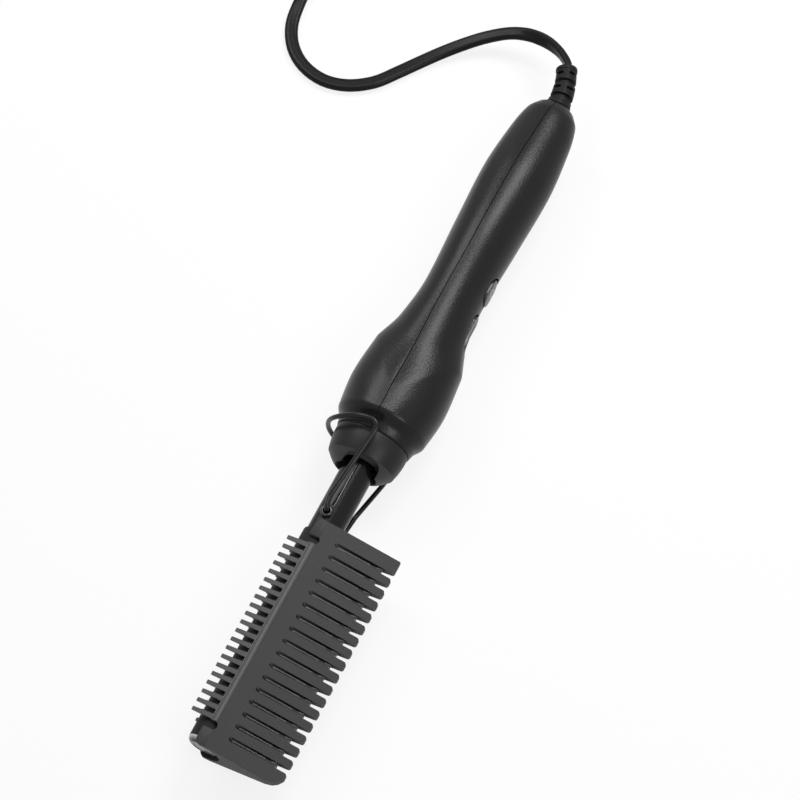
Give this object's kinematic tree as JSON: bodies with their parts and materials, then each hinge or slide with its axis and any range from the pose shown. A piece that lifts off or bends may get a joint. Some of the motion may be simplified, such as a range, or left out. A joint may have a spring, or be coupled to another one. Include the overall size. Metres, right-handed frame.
{
  "type": "hot comb",
  "caption": "Electric hot comb with a waisted two-shell handle, press buttons, heated barrel comb with guard teeth, folding wire stand and flat mains cord.",
  "frame": {"origin": "centre of the box of comb, handle and strain relief, on the plane that the handle's bulge stands on", "axes": "+X towards the large comb teeth, +Y along the handle towards the cord, +Z out of the comb's front face, up when it lies down"},
  "size_m": [0.2494, 0.386, 0.0376],
  "materials": {
    "handle_plastic": "fine-grained matte black",
    "collar_plastic": "smooth satin black, heat resistant",
    "button_plastic": "satin black",
    "black_steel": "satin black oxide",
    "wire_black": "semi-gloss black",
    "comb_coating": "matte dark grey coating",
    "guard_coating": "matte grey coating",
    "bright_cap": "polished",
    "steel": "plain",
    "laminate": "pressed laminate",
    "ceramic": "fired ceramic",
    "mica": "mica paper",
    "sensor_bead": "dipped bead",
    "fuse_metal": "drawn can",
    "lead_sleeve": "glass braid",
    "sensor_wire": "insulated wire",
    "board_green": "solder mask",
    "switch_black": "moulded",
    "soft_black": "soft satin black",
    "cord_black": "soft satin black",
    "tie_black": "coated wire tie",
    "lead_black": "insulated wire",
    "blade_brass": "plain"
  },
  "bodies": {
    "body": {"handle_shell_left": "handle_plastic", "handle_shell_right": "handle_plastic", "shell_screws": "steel", "nose_collar": "collar_plastic", "shank_tube": "black_steel", "shank_sleeve": "black_steel", "shank_flange": "laminate", "pivot_eyelets": "black_steel", "heater_barrel": "black_steel", "barrel_cap": "bright_cap", "heating_rod": "ceramic", "mica_sleeve": "mica", "heat_sensor": "sensor_bead", "thermal_fuse": "fuse_metal", "heater_leads": "lead_sleeve", "sensor_leads": "sensor_wire", "comb_body": "comb_coating", "front_guard_strip": "guard_coating", "back_guard_strip": "guard_coating", "circuit_board": "board_green", "board_screws": "steel", "tact_switches": "switch_black", "strain_relief": "soft_black", "cord_tail": "cord_black", "cord_clamp": "laminate", "clamp_screws": "steel", "supply_leads": "lead_black", "cord": "cord_black", "cord_coil": "cord_black", "cord_tie": "tie_black", "plug_body": "soft_black", "plug_blades": "blade_brass"},
    "stand": {"stand_wire": "wire_black"},
    "power_key": {"power_button": "button_plastic"},
    "heat_key": {"heat_rocker": "button_plastic"}
  },
  "joints": [
    {"name": "stand_hinge", "type": "hinge", "parent": "body", "child": "stand", "pos_m": [-0.0066, -0.0576, 0.0188], "axis": [0, 0, 1], "range_deg": [0, 100]},
    {"name": "power_press", "type": "slide", "parent": "body", "child": "power_key", "axis": [-1, 0, 0], "range_m": [0, 0.0008], "stiffness_N_per_m": 400},
    {"name": "heat_rock", "type": "hinge", "parent": "body", "child": "heat_key", "pos_m": [0.00272, 0.033, 0.0188], "axis": [0, 0, 1], "range_deg": [-3, 3], "stiffness_Nm_per_rad": 0.05}
  ]
}
